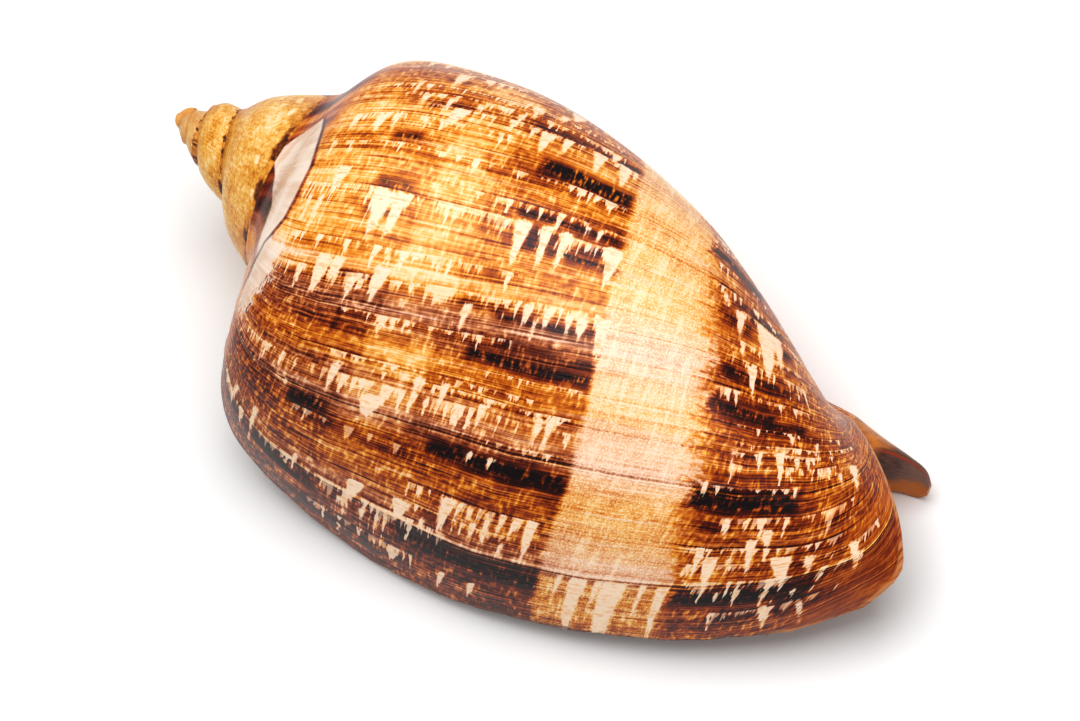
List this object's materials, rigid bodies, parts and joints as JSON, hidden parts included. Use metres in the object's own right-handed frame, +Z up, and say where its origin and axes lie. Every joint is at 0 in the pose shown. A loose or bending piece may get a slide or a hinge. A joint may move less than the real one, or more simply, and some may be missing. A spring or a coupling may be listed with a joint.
{
  "type": "volute shell",
  "caption": "Large glossy spiral sea shell with a short stepped spire, a wide flaring body whorl, a long opening with folds on the column, and a notched front end.",
  "frame": {"origin": "centre of the shell's plan, on the surface it lies on", "axes": "+Z up, with the shell lying on its opening; +X towards the notched front end, the spire towards -X"},
  "size_m": [0.2386, 0.1216, 0.0854],
  "materials": {
    "shell": "gloss"
  },
  "bodies": {
    "root": {"shell": "shell"}
  },
  "joints": []
}
